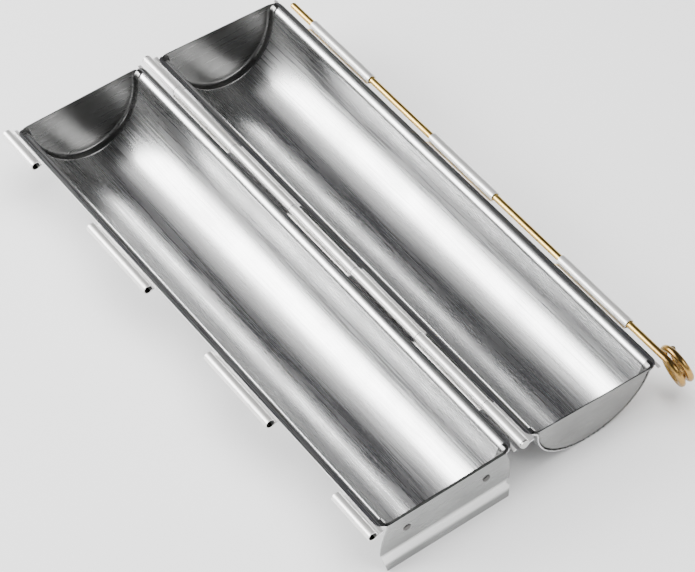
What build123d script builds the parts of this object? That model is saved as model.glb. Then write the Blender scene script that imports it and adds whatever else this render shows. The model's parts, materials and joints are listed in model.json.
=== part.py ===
from build123d import *
import os
from math import acos, asin, atan2, cos, degrees, hypot, pi, radians, sin, sqrt, tan

# A hinged round loaf pan, standing open. Two half-round troughs of sheet steel are joined along
# one long side by a rolled-knuckle hinge. Along the other long sides, rolled knuckles take a
# locking rod that is slid through them when the pan is shut. The base trough stands on a plate
# foot at its near end, and the lid trough lies beside it on its round back.
# Frame: +Y runs along the pan, away from the rod's handle, +X goes from the base to the lid,
# +Z is up, and the origin is on the table under the middle of the whole object's box.

os.makedirs("parts", exist_ok=True)

# ---- driving dimensions, in millimetres and degrees
strip_length = 400.0      # hinge and latch strips, end to end
pan_length = 396.6        # troughs, outside end to outside end at the rim
trough_radius = 41.2      # inside of the half-round
sheet = 0.8               # troughs, end caps and foot
axle_span = 107.0         # hinge axle to latch axle
flange_reach = 48.0       # trough centre to the flange's outer edge
rim_bend = 5.0            # radius of the bend between trough and flange, on its top face
flange_corner = 6.0       # rounding of the flange's corners in plan
rim_drop = 0.1            # flange face below the axles' plane, so that shut rims clear each other
end_slope = 8.0           # end walls lean inwards towards the bottom
hinge_height = 45.0       # axles' plane of the base above the table

cap_corner = 3.0          # outside of the bend round an end cap
cap_lap = 6.0             # depth of an end cap, its lap inside the trough included
cap_gap = 0.05            # between the lap and the trough

strip_sheet = 0.7         # hinge and latch strips
strip_inset = 2.0         # strip's overlap under the flange
knuckle_radius = 3.3      # outside of a rolled knuckle
knuckle_roll = 300.0      # angle through which the sheet is rolled
knuckle_pitch = 65.6      # spacing of the five middle knuckles
knuckle_gap = 0.4         # between neighbouring knuckles

pin_radius = 2.5          # hinge pin
pin_head_radius = 3.0     # peened ends of the hinge pin
pin_head = 0.8
pin_play = 0.2            # between the last knuckle and the pin's head
rod_radius = 2.2          # locking rod
rod_tip_y = 189.0         # far end of the locking rod, as it stands pulled out a little
handle_y = -198.0         # centre of the rod's coiled handle
handle_radius = 11.4      # centre line of the coil
handle_pitch = 5.9        # advance of the coil in one turn
handle_turns = 1.73
handle_swing = 11.5       # how far the handle hangs out of the vertical

rivet_x = 28.3            # rivets either side of the foot's middle
rivet_drop = 15.5         # rivets below the axles' plane
rivet_hole = 1.6
rivet_shank = 1.55
rivet_head_radius = 2.9
rivet_head = 1.1
rivet_tail_radius = 2.6
rivet_tail = 0.8

foot_top_drop = 0.5       # foot's upper edge below the axles' plane
foot_bend_drop = 32.0     # foot's first bend, where it leaves the end wall
foot_kick_drop = 38.0     # its second bend, where the lip turns nearly upright
foot_lip_inset = 2.6      # second bend's distance in from the end wall's top edge
foot_flare = 4.8          # lip's lean outwards, in degrees
foot_bend = 6.0           # radius of the foot's bends
foot_shoulder = 41.3      # half of the foot's width at its upper edge,
foot_belly = 45.2         # at belly_drop,
foot_belly_drop = 16.0
foot_hip = 46.2           # at its widest, just above the first bend,
foot_hip_drop = 31.0
foot_toe = 43.6           # and on the table
foot_notch = 2.4          # radius of the relief notch at the bend, on the hinge side
foot_notch_drop = 34.0

# ---- placing: the object's box is centred on the origin
hinge_x = -6.3
middle_y = 5.58

# ---- values worked out from those
trough_centre = axle_span / 2
lid_tilt = degrees(asin((hinge_height - rim_drop - trough_radius - sheet) / trough_centre))
end_knuckle = strip_length / 2 - 2.5 * knuckle_pitch
bend_reach = sqrt((trough_radius + rim_bend) ** 2 - rim_bend**2)  # trough centre to bend centre
strip_edge = trough_centre - flange_reach + strip_inset

# Each shell has its own frame: local x from the hinge axle towards its latch axle, local y up,
# its origin on the hinge axle. The base points to -X. The lid points to +X and lies tilted.
outward = {
    "base": Vector(-1, 0, 0),
    "lid": Vector(cos(radians(lid_tilt)), 0, -sin(radians(lid_tilt))),
}
upward = {
    "base": Vector(0, 0, 1),
    "lid": Vector(sin(radians(lid_tilt)), 0, cos(radians(lid_tilt))),
}
facing = {"base": Vector(0, 1, 0), "lid": Vector(0, -1, 0)}


def across(shell, y=0.0):
    """The plane of a shell's cross-section at station y."""
    return Plane((hinge_x, middle_y + y, hinge_height), x_dir=outward[shell], z_dir=facing[shell])


def end_plane(shell, end, inset=0.0):
    """The outside of a shell's end wall (end is -1 or 1), or a plane parallel to it, further in."""
    normal = Vector(0, end * cos(radians(end_slope)), 0) - upward[shell] * sin(radians(end_slope))
    rim = across(shell, end * pan_length / 2).from_local_coords((trough_centre, 0, 0))
    return Plane(Vector(rim) - normal * inset, x_dir=upward[shell].cross(normal), z_dir=normal)


def make_trough(shell):
    """Half-round trough with a flange along each side, its ends cut to the slope of the caps."""
    left = (trough_centre - trough_radius, -rim_drop)
    right = (trough_centre + trough_radius, -rim_drop)
    with BuildPart() as trough:
        with BuildSketch(across(shell)):
            with BuildLine() as wall:
                Line((trough_centre - flange_reach, -rim_drop), left)
                CenterArc((trough_centre, -rim_drop), trough_radius, 180, 180)
                Line(right, (trough_centre + flange_reach, -rim_drop))
                fillet(wall.vertices().sort_by(Axis.X)[1:3], radius=rim_bend)
                offset(amount=sheet, side=Side.RIGHT)
            make_face()
        extrude(amount=pan_length / 2, both=True)
        rim_middle = across(shell).from_local_coords((trough_centre, 0, 0))
        rim_plan = Plane(rim_middle, x_dir=outward[shell], z_dir=upward[shell])
        with BuildSketch(rim_plan):
            RectangleRounded(2 * flange_reach, pan_length, flange_corner)
        extrude(amount=2 * trough_radius, both=True, mode=Mode.INTERSECT)
        for end in (-1, 1):
            split(bisect_by=end_plane(shell, end), keep=Keep.BOTTOM)
    return trough


def end_plug(shell, end, inset):
    """Solid that fills one end of a trough and its mouth, inset from the outside of the end's cap.

    It ends parallel to the end wall, with that corner rounded, and stands well above the rim.
    """
    gap = cap_gap + inset
    turn = degrees(atan2(rim_bend, bend_reach))  # below the rim's plane, where round and bend meet
    mouth = bend_reach + rim_bend
    station = across(shell, end * (pan_length / 2 - cap_lap))
    middle = station.from_local_coords((trough_centre, -rim_drop, 0))
    with BuildPart() as plug:
        with BuildSketch(Plane(middle, x_dir=outward[shell], z_dir=facing[shell])):
            with BuildLine():
                CenterArc((0, 0), trough_radius - gap, 270, 90 - turn)
                CenterArc((bend_reach, -rim_bend), rim_bend + gap, 180 - turn, turn - 90)
                Polyline((bend_reach, gap), (mouth, gap), (mouth, mouth), (0, mouth))
                mirror(about=Plane.YZ)
            make_face()
        extrude(amount=3 * cap_lap, both=True)
        slope = end_plane(shell, end, inset)
        split(bisect_by=slope, keep=Keep.BOTTOM)
        wall = plug.faces().filter_by(slope)[0]
        fillet(wall.edges().filter_by(GeomType.LINE, reverse=True), radius=cap_corner - inset)
    return plug


def make_cap(shell, end, holes):
    """End wall: a dish whose lap lies inside the trough and follows the bend of its rim."""
    body = end_plug(shell, end, 0)
    hollow = end_plug(shell, end, sheet)
    rim_middle = across(shell).from_local_coords((trough_centre, -rim_drop, 0))
    with BuildPart() as cap:
        add(body.part)
        split(bisect_by=end_plane(shell, end, cap_lap), keep=Keep.TOP)
        split(bisect_by=Plane(rim_middle, z_dir=upward[shell]), keep=Keep.BOTTOM)
        add(hollow.part, mode=Mode.SUBTRACT)
        if holes:
            with BuildSketch(end_plane(shell, end)):
                with Locations((rivet_x, -rivet_drop), (-rivet_x, -rivet_drop)):
                    Circle(rivet_hole)
            extrude(amount=-3 * sheet, mode=Mode.SUBTRACT)
    return cap


def make_strip(shell, at_hinge, stations):
    """Strip under a flange, with rolled knuckles at the stations (y of the middle, length).

    Where it has a knuckle, the sheet's section is a flat, a web and a roll round the axle.
    """
    axle = 0.0 if at_hinge else axle_span
    towards_trough = 1 if at_hinge else -1
    inner_side = Side.LEFT if at_hinge else Side.RIGHT
    band_middle = axle + towards_trough * (strip_edge - strip_inset / 2)
    underside = -(rim_drop + sheet + strip_sheet)
    web_start = trough_centre - flange_reach
    lean = atan2(underside, web_start) - acos(knuckle_radius / hypot(web_start, underside))
    touch = (axle + towards_trough * knuckle_radius * cos(lean), knuckle_radius * sin(lean))
    roll_start = degrees(lean) if at_hinge else 180 - degrees(lean)
    bend = (axle + towards_trough * web_start, underside)
    with BuildPart() as strip:
        with BuildSketch(across(shell)):
            with Locations((band_middle, -rim_drop - sheet)):
                Rectangle(strip_inset, strip_sheet, align=(Align.CENTER, Align.MAX))
        extrude(amount=strip_length / 2, both=True)
        for y, length in stations:
            with BuildSketch(across(shell, y)):
                with BuildLine():
                    Line((axle + towards_trough * strip_edge, underside), bend)
                    Line(bend, touch)
                    CenterArc((axle, 0), knuckle_radius, roll_start, -towards_trough * knuckle_roll)
                    offset(amount=strip_sheet, side=inner_side)
                make_face()
            extrude(amount=length / 2, both=True)
    return strip


def make_foot():
    """Foot: a plate down the base's near end wall, its lower edge kicked outwards as a lip."""
    middle = across("base").from_local_coords((trough_centre, 0, 0))
    wall_slope = tan(radians(end_slope))
    kick = pan_length / 2 - foot_lip_inset
    below = 2 * foot_bend  # the lip is drawn this far past its bend, and cut off at the table
    with BuildPart() as foot:
        with BuildSketch(Plane(middle, x_dir=(0, -1, 0), z_dir=(-1, 0, 0))):
            with BuildLine():
                FilletPolyline(
                    (pan_length / 2 - foot_top_drop * wall_slope, -foot_top_drop),
                    (pan_length / 2 - foot_bend_drop * wall_slope, -foot_bend_drop),
                    (kick, -foot_kick_drop),
                    (kick + below * tan(radians(foot_flare)), -foot_kick_drop - below),
                    radius=foot_bend,
                )
                offset(amount=sheet, side=Side.LEFT)
            make_face()
        extrude(amount=1.5 * trough_radius, both=True)
        with BuildSketch(Plane(middle, x_dir=(-1, 0, 0), z_dir=(0, 1, 0))):
            with BuildLine():
                shoulder = (foot_shoulder, -foot_top_drop)
                hip = (foot_hip, -foot_hip_drop)
                toe = (foot_toe, -hinge_height)
                ThreePointArc(shoulder, (foot_belly, -foot_belly_drop), hip)
                Line(hip, toe)
                Line(toe, (0, -hinge_height))
                Line((0, -foot_top_drop), shoulder)
                mirror(about=Plane.YZ)
            make_face()
            with Locations((-foot_hip, -foot_notch_drop)):
                Circle(foot_notch, mode=Mode.SUBTRACT)
        extrude(amount=pan_length, both=True, mode=Mode.INTERSECT)
        with BuildSketch(end_plane("base", -1)):
            with Locations((rivet_x, -rivet_drop), (-rivet_x, -rivet_drop)):
                Circle(rivet_hole)
        extrude(amount=3 * sheet, mode=Mode.SUBTRACT)
    return foot


def make_rivets():
    """The two rivets through the foot and its end wall, as separate solids."""
    spots = Locations((rivet_x, -rivet_drop), (-rivet_x, -rivet_drop))
    with BuildPart() as rivets:
        with BuildSketch(end_plane("base", -1, sheet)):
            with spots:
                Circle(rivet_shank)
        extrude(amount=2 * sheet)
        with BuildSketch(end_plane("base", -1, -sheet)):
            with spots:
                Circle(rivet_head_radius)
        extrude(amount=rivet_head)
        with BuildSketch(end_plane("base", -1, sheet)):
            with spots:
                Circle(rivet_tail_radius)
        extrude(amount=-rivet_tail)
    return rivets


# ---- stations of the knuckles
end_length = end_knuckle - knuckle_gap / 2
end_station = strip_length / 2 - end_length / 2
middle_length = knuckle_pitch - knuckle_gap
four_knuckles = [
    (end_station, end_length),
    (knuckle_pitch, middle_length),
    (-knuckle_pitch, middle_length),
    (-end_station, end_length),
]
three_knuckles = [(2 * knuckle_pitch * i, middle_length) for i in (-1, 0, 1)]

pieces = {
    "base_trough": make_trough("base"),
    "lid_trough": make_trough("lid"),
    "base_end_near": make_cap("base", -1, True),
    "base_end_far": make_cap("base", 1, False),
    "lid_end_near": make_cap("lid", -1, False),
    "lid_end_far": make_cap("lid", 1, False),
    "base_latch_strip": make_strip("base", False, four_knuckles),
    "base_hinge_strip": make_strip("base", True, three_knuckles),
    "lid_hinge_strip": make_strip("lid", True, four_knuckles),
    "lid_latch_strip": make_strip("lid", False, three_knuckles),
    "foot": make_foot(),
    "foot_rivets": make_rivets(),
}

# ---- hinge pin: a wire through all seven hinge knuckles, peened at both ends
pin_half = strip_length / 2 + pin_play
with BuildPart() as hinge_pin:
    with BuildSketch(across("base")):
        Circle(pin_radius)
    extrude(amount=pin_half, both=True)
    for end in (-1, 1):
        with BuildSketch(Plane(across("base", end * pin_half).origin, z_dir=(0, end, 0))):
            Circle(pin_head_radius)
        extrude(amount=pin_head)
pieces["hinge_pin"] = hinge_pin

# ---- locking rod: one wire, its near end coiled into an eye that hangs below the rod
hang = Vector(sin(radians(handle_swing)), 0, -cos(radians(handle_swing)))
coil_axis = Vector(cos(radians(handle_swing)), 0, sin(radians(handle_swing)))
lead = atan2(handle_pitch, 2 * pi * handle_radius)
latch_axle = Vector(across("lid", handle_y).from_local_coords((axle_span, 0, 0)))
coil_plane = Plane(
    latch_axle + hang * handle_radius,
    x_dir=hang * -1,
    z_dir=coil_axis * cos(lead) - Vector(0, 1, 0) * sin(lead),
)
coil = Helix(handle_pitch, handle_pitch * handle_turns, handle_radius).moved(coil_plane.location)
with BuildPart() as locking_rod:
    with BuildSketch(Plane(latch_axle, z_dir=(0, 1, 0))):
        Circle(rod_radius)
    extrude(amount=rod_tip_y - handle_y)
    fillet(locking_rod.edges().sort_by(Axis.Y)[-1], radius=rod_radius * 0.8)
    with BuildSketch(Plane(latch_axle, z_dir=(0, -1, 0))):
        Circle(rod_radius)
    sweep(path=coil, is_frenet=True)
pieces["locking_rod"] = locking_rod

for name, piece in pieces.items():
    piece.part.label = name
    export_step(piece.part, f"parts/{name}.step")
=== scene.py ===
"""Looks of a hinged round loaf pan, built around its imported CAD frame.

The pan lies open: the base trough stands on its foot, and the lid lies beside it on its back.
Everything is in metres, in the frame's own axes: +Y along the pan, +X from base to lid, +Z up.
"""

import json
from math import cos, pi, radians, sin

import bmesh
import bpy
from mathutils import Matrix, Vector


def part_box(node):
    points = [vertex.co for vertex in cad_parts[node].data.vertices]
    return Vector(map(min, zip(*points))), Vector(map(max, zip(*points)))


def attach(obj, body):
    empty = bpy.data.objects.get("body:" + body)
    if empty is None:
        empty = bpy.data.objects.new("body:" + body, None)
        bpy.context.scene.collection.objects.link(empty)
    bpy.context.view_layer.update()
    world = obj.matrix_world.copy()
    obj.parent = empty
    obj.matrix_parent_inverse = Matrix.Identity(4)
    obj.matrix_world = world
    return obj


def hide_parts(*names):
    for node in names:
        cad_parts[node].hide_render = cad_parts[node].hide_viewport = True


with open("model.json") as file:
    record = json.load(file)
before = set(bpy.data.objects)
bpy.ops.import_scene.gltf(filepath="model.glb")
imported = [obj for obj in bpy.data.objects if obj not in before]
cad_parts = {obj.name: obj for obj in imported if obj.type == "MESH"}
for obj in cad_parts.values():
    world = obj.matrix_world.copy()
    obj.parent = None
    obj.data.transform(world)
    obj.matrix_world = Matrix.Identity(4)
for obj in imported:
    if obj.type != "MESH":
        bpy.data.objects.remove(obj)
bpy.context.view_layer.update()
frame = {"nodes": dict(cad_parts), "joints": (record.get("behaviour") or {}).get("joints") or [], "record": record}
nodes = frame["nodes"]
hinge = next(j for j in frame["joints"] if j["name"] == "lid_hinge")
hinge_point = Vector(hinge["pos_m"])


# ---------------------------------------------------------------- materials

def new_material(name):
    """An empty node material and its principled shader."""
    material = bpy.data.materials.new(name)
    material.use_nodes = True
    return material, material.node_tree, material.node_tree.nodes["Principled BSDF"]


def add_node(tree, kind, **inputs):
    """Adds a node, and sets its inputs by name."""
    node = tree.nodes.new(kind)
    for name, value in inputs.items():
        node.inputs[name.replace("_", " ")].default_value = value
    return node


def noise(tree, stretch, scale, detail=4.0, roughness=0.55):
    """Noise in the object's own coordinates, stretched by the three factors, as a socket."""
    coordinates = tree.nodes.new("ShaderNodeTexCoord")
    mapping = add_node(tree, "ShaderNodeMapping", Scale=stretch)
    texture = add_node(tree, "ShaderNodeTexNoise", Scale=scale, Detail=detail, Roughness=roughness)
    tree.links.new(coordinates.outputs["Object"], mapping.inputs["Vector"])
    tree.links.new(mapping.outputs["Vector"], texture.inputs["Vector"])
    return texture.outputs["Fac"]


def remap(tree, value, low, high, to_low, to_high):
    """Maps low..high to to_low..to_high, clamped."""
    node = add_node(tree, "ShaderNodeMapRange")
    node.inputs["From Min"].default_value = low
    node.inputs["From Max"].default_value = high
    node.inputs["To Min"].default_value = to_low
    node.inputs["To Max"].default_value = to_high
    tree.links.new(value, node.inputs["Value"])
    return node.outputs["Result"]


def blend_colours(tree, factor, first, second):
    """From the first colour to the second, by a factor's socket. The first may be a socket."""
    node = tree.nodes.new("ShaderNodeMix")
    node.data_type = "RGBA"
    if isinstance(first, tuple):
        node.inputs["A"].default_value = (*first, 1)
    else:
        tree.links.new(first, node.inputs["A"])
    node.inputs["B"].default_value = (*second, 1)
    tree.links.new(factor, node.inputs["Factor"])
    return node.outputs["Result"]


def combine(tree, operation, first, second):
    """A Math node on two sockets, such as ADD or MULTIPLY."""
    node = tree.nodes.new("ShaderNodeMath")
    node.operation = operation
    tree.links.new(first, node.inputs[0])
    tree.links.new(second, node.inputs[1])
    return node.outputs["Value"]


def bump(tree, height, strength, distance, under=None):
    """A bump in metres of distance, over another bump's normal if there is one."""
    node = add_node(tree, "ShaderNodeBump", Strength=strength, Distance=distance)
    tree.links.new(height, node.inputs["Height"])
    if under is not None:
        tree.links.new(under, node.inputs["Normal"])
    return node.outputs["Normal"]


# Scales of the noises, in features per metre.
cloud_scale = 28
wave_scale = 22
streak_scale = 900
scratch_scale = 2600


def metal(name, bright, dull, roughness, grain, grain_depth=2e-5, dents=0.0, metallic=1.0):
    """Sheet metal or wire: a drawn grain, cloudy wear, and a slight waviness.

    roughness is its lowest and highest value. grain is the stretch of the grain's noise: small
    along the grain, 1 across it. grain_depth and dents are the depths of their bumps, in metres.
    """
    material, tree, shader = new_material(name)
    shader.inputs["Metallic"].default_value = metallic
    clouds = noise(tree, (1, 1, 1), cloud_scale, detail=5)
    streaks = noise(tree, grain, streak_scale, detail=3, roughness=0.6)
    scratches = noise(tree, grain, scratch_scale, detail=2, roughness=0.7)
    tone = remap(tree, clouds, 0.35, 0.68, 0.0, 1.0)
    tree.links.new(blend_colours(tree, tone, bright, dull), shader.inputs["Base Color"])
    low, high = roughness
    rough = combine(
        tree,
        "ADD",
        remap(tree, streaks, 0.3, 0.7, low, high),
        remap(tree, clouds, 0.35, 0.7, 0.0, 0.35 * (high - low)),
    )
    tree.links.new(rough, shader.inputs["Roughness"])
    normal = bump(tree, streaks, 0.16, grain_depth)
    normal = bump(tree, scratches, 0.12, 0.6 * grain_depth, normal)
    if dents:
        waves = noise(tree, (1, 0.35, 1), wave_scale, detail=1, roughness=0.4)
        normal = bump(tree, waves, 0.35, dents, normal)
    tree.links.new(normal, shader.inputs["Normal"])
    return material


along_y = (1, 0.02, 1)
along_x = (0.03, 1, 1)
no_grain = (1, 1, 1)
materials = {
    "trough_sheet": metal(
        "bright_sheet", (0.82, 0.82, 0.82), (0.70, 0.70, 0.70), (0.19, 0.33), along_y, dents=1.6e-4
    ),
    # Painted shade: the end walls are the same steel as the trough, painted darker to stand in for their shade and
    # darker reflections.
    "end_sheet": metal(
        "end_sheet", (0.30, 0.30, 0.295), (0.22, 0.22, 0.215), (0.22, 0.36), along_x, dents=3e-4
    ),
    "strip_sheet": metal(
        "rolled_strip", (0.93, 0.92, 0.91), (0.80, 0.79, 0.77), (0.26, 0.42), along_y, metallic=0.8
    ),
    # Painted shade: the foot is the same steel as the trough, painted darker to stand in for its shade and darker
    # reflections.
    "foot_sheet": metal(
        "foot_sheet", (0.36, 0.365, 0.36), (0.27, 0.275, 0.27), (0.22, 0.34), along_x, dents=2e-4
    ),
    "pin_wire": metal(
        "pin_wire", (0.60, 0.60, 0.58), (0.45, 0.45, 0.43), (0.25, 0.40), along_y
    ),
    "rod_wire": metal(
        "brass_wire", (0.93, 0.66, 0.20), (0.72, 0.45, 0.11), (0.20, 0.34), along_y
    ),
    "rivet": metal(
        "dark_rivet", (0.16, 0.155, 0.15), (0.08, 0.078, 0.075), (0.35, 0.55), no_grain, 4e-5
    ),
}


def position(tree, axis):
    """A coordinate of the point in the object's own frame, in metres."""
    coordinates = tree.nodes.new("ShaderNodeTexCoord")
    split = tree.nodes.new("ShaderNodeSeparateXYZ")
    tree.links.new(coordinates.outputs["Object"], split.inputs["Vector"])
    return split.outputs[axis]


def tint(slot, factor, colour):
    """Blends a material's colour towards another by the factor's socket."""
    tree = materials[slot].node_tree
    base = tree.nodes["Principled BSDF"].inputs["Base Color"]
    plain = base.links[0].from_socket
    tree.links.new(blend_colours(tree, factor, plain, colour), base)


# The rod's coiled handle is darkened by the oven's heat.
rod_tree = materials["rod_wire"].node_tree
rod_y = position(rod_tree, "Y")
handle_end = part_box("locking_rod")[0][1]
heat_start = handle_end + 0.034
heat_full = handle_end + 0.016
tint("rod_wire", remap(rod_tree, rod_y, heat_start, heat_full, 0.0, 0.85), (0.36, 0.21, 0.07))

# Painted shade: the latch knuckles are painted dark inside their bores, where shade falls inside the rolled tubes.
bore_radius = 0.0026
axle_span = 0.107  # hinge axle to latch axle
lid_tilt = radians(hinge["range_deg"][1] - 180)
latch_axles = (
    (hinge_point.x - axle_span, 0, hinge_point.z),
    (hinge_point.x + axle_span * cos(lid_tilt), 0, hinge_point.z - axle_span * sin(lid_tilt)),
)
strip_tree = materials["strip_sheet"].node_tree
section = strip_tree.nodes.new("ShaderNodeCombineXYZ")
strip_tree.links.new(position(strip_tree, "X"), section.inputs["X"])
strip_tree.links.new(position(strip_tree, "Z"), section.inputs["Z"])
dark_until, dark_end = 1.01 * bore_radius, 1.06 * bore_radius
painted_bore_shade = []
for axle in latch_axles:
    distance = strip_tree.nodes.new("ShaderNodeVectorMath")
    distance.operation = "DISTANCE"
    strip_tree.links.new(section.outputs["Vector"], distance.inputs[0])
    distance.inputs[1].default_value = axle
    painted_bore_shade.append(remap(strip_tree, distance.outputs["Value"], dark_until, dark_end, 1.0, 0.0))
# The near-black tint is the painted shade inside the two latch bores.
tint("strip_sheet", combine(strip_tree, "ADD", *painted_bore_shade), (0.02, 0.018, 0.016))

# Painted highlight: a bright band is painted on the foot's bend, between two heights, where the bend catches the
# light.
highlight_bottom = (0.0045, 0.0070)
highlight_top = (0.0115, 0.0145)
foot_tree = materials["foot_sheet"].node_tree
height = position(foot_tree, "Z")
above_lip = remap(foot_tree, height, *highlight_bottom, 0.0, 1.0)
below_wall = remap(foot_tree, height, *highlight_top, 1.0, 0.0)
# The pale tint is the painted highlight on the foot's bend.
tint("foot_sheet", combine(foot_tree, "MULTIPLY", above_lip, below_wall), (0.80, 0.80, 0.79))

node_slots = {part["node"]: part["material_slot"] for part in frame["record"]["subparts"]}
for name, node in nodes.items():
    node.data.materials.clear()
    node.data.materials.append(materials[node_slots[name]])


# ---------------------------------------------------------------- rivets

def dome(mesh, centre, axis, radius, height, segments=32, rings=8):
    """Adds a closed flattened dome, which stands on its centre along the axis."""
    side = axis.orthogonal().normalized()
    other = axis.cross(side)
    loops = []
    for ring in range(rings):
        rise = 0.5 * pi * ring / rings
        loop = []
        for step in range(segments):
            turn = 2 * pi * step / segments
            out = (side * cos(turn) + other * sin(turn)) * radius * cos(rise)
            loop.append(mesh.verts.new(centre + out + axis * height * sin(rise)))
        loops.append(loop)
    top = mesh.verts.new(centre + axis * height)
    for lower, upper in zip(loops, loops[1:]):
        for i in range(segments):
            j = (i + 1) % segments
            mesh.faces.new((lower[i], lower[j], upper[j], upper[i]))
    for i in range(segments):
        mesh.faces.new((loops[-1][i], loops[-1][(i + 1) % segments], top))
    mesh.faces.new(reversed(loops[0]))


end_slope = radians(8)  # of the base's near end wall, which the rivets stand square to
head_radius, head_height = 0.0029, 0.0011
tail_radius, tail_height = 0.0026, 0.0008
dome_radius = 0.92 * head_radius
clamped = 0.0016  # foot and end wall together
outwards = Vector((0, -cos(end_slope), -sin(end_slope)))
low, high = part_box("foot_rivets")
# The middle of a head's outer face, from the lowest corner of the two rivets' box.
face_y = low[1] + head_radius * sin(end_slope)
face_z = low[2] + head_radius * cos(end_slope)
rivet_mesh = bmesh.new()
for x in (low[0] + head_radius, high[0] - head_radius):
    seat = Vector((x, face_y, face_z)) - outwards * head_height
    dome(rivet_mesh, seat, outwards, dome_radius, head_height)
    dome(rivet_mesh, seat - outwards * clamped, -outwards, tail_radius, tail_height)
rivet_data = bpy.data.meshes.new("rivet_heads")
rivet_mesh.to_mesh(rivet_data)
is_curved = [len(face.vertices) <= 4 for face in rivet_data.polygons]
rivet_data.polygons.foreach_set("use_smooth", is_curved)
rivet_heads = bpy.data.objects.new("rivet_heads", rivet_data)
bpy.context.scene.collection.objects.link(rivet_heads)
rivet_data.materials.append(materials["rivet"])
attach(rivet_heads, "base")
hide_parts("foot_rivets")


# ---------------------------------------------------------------- floor, light and camera

floor_half = 4.0
floor_mesh = bmesh.new()
bmesh.ops.create_grid(floor_mesh, x_segments=1, y_segments=1, size=floor_half)
floor_data = bpy.data.meshes.new("floor")
floor_mesh.to_mesh(floor_data)
floor = bpy.data.objects.new("floor", floor_data)
bpy.context.scene.collection.objects.link(floor)
paper, paper_tree, paper_shader = new_material("floor_paper")
paper_shader.inputs["Roughness"].default_value = 0.9
paper_shader.inputs["Specular IOR Level"].default_value = 0.1
paper_tone = noise(paper_tree, (1, 1, 1), 3, detail=2)
paper_colour = blend_colours(paper_tree, paper_tone, (0.93, 0.93, 0.93), (0.90, 0.90, 0.90))
paper_tree.links.new(paper_colour, paper_shader.inputs["Base Color"])
floor.data.materials.append(paper)


def softbox(name, direction, distance, size, power, glossy=True):
    """An area light in that direction from the hinge's middle, facing it, in metres and watts."""
    data = bpy.data.lights.new(name, "AREA")
    data.shape = "RECTANGLE"
    data.size, data.size_y = size
    data.energy = power
    lamp = bpy.data.objects.new(name, data)
    lamp.visible_glossy = glossy
    bpy.context.scene.collection.objects.link(lamp)
    away = Vector(direction).normalized() * distance
    lamp.location = hinge_point + away
    lamp.rotation_mode = "QUATERNION"
    lamp.rotation_quaternion = away.to_track_quat("Z", "Y")


softbox("key", (-0.654, 0.56, 0.511), 1.5, (1.4, 0.81), 45)
softbox("key_glow", (-0.30, 0.56, 0.77), 1.6, (1.4, 0.55), 2.4)
softbox("front", (0.35, -0.74, 0.57), 1.6, (0.9, 0.6), 7)
softbox("overhead_fill", (0.1, -0.1, 1.0), 2.2, (2.0, 2.0), 100, glossy=False)

# The room is lighter at the horizon than overhead.
horizon = (0.52, 0.52, 0.52, 1)
overhead = (0.065, 0.065, 0.07, 1)
overhead_from = 0.45
world = bpy.data.worlds.new("studio")
bpy.context.scene.world = world
world.use_nodes = True
sky = world.node_tree
direction = sky.nodes.new("ShaderNodeTexCoord")
split = sky.nodes.new("ShaderNodeSeparateXYZ")
ramp = sky.nodes.new("ShaderNodeValToRGB")
ramp.color_ramp.elements[0].position = 0.0
ramp.color_ramp.elements[0].color = horizon
ramp.color_ramp.elements[1].position = overhead_from
ramp.color_ramp.elements[1].color = overhead
sky.links.new(direction.outputs["Generated"], split.inputs["Vector"])
sky.links.new(split.outputs["Z"], ramp.inputs["Fac"])
sky.links.new(ramp.outputs["Color"], sky.nodes["Background"].inputs["Color"])
sky.nodes["Background"].inputs["Strength"].default_value = 1.0

view_azimuth = radians(-31.67)
view_elevation = radians(48.93)
view_roll = radians(5.0)
view_distance = 1.735
view_lens = 149.0
film_width = 36.0
aim_offset = Vector((-0.0103, -0.0396, 0))  # from the hinge's middle
camera_data = bpy.data.cameras.new("camera")
camera_data.lens = view_lens
camera_data.sensor_width = film_width
camera = bpy.data.objects.new("camera", camera_data)
bpy.context.scene.collection.objects.link(camera)
back = Vector((
    sin(view_azimuth) * cos(view_elevation),
    -cos(view_azimuth) * cos(view_elevation),
    sin(view_elevation),
))
place = Matrix.Translation(hinge_point + aim_offset + back * view_distance)
level = back.to_track_quat("Z", "Y").to_matrix().to_4x4()
camera.matrix_world = place @ level @ Matrix.Rotation(-view_roll, 4, "Z")
bpy.context.scene.camera = camera
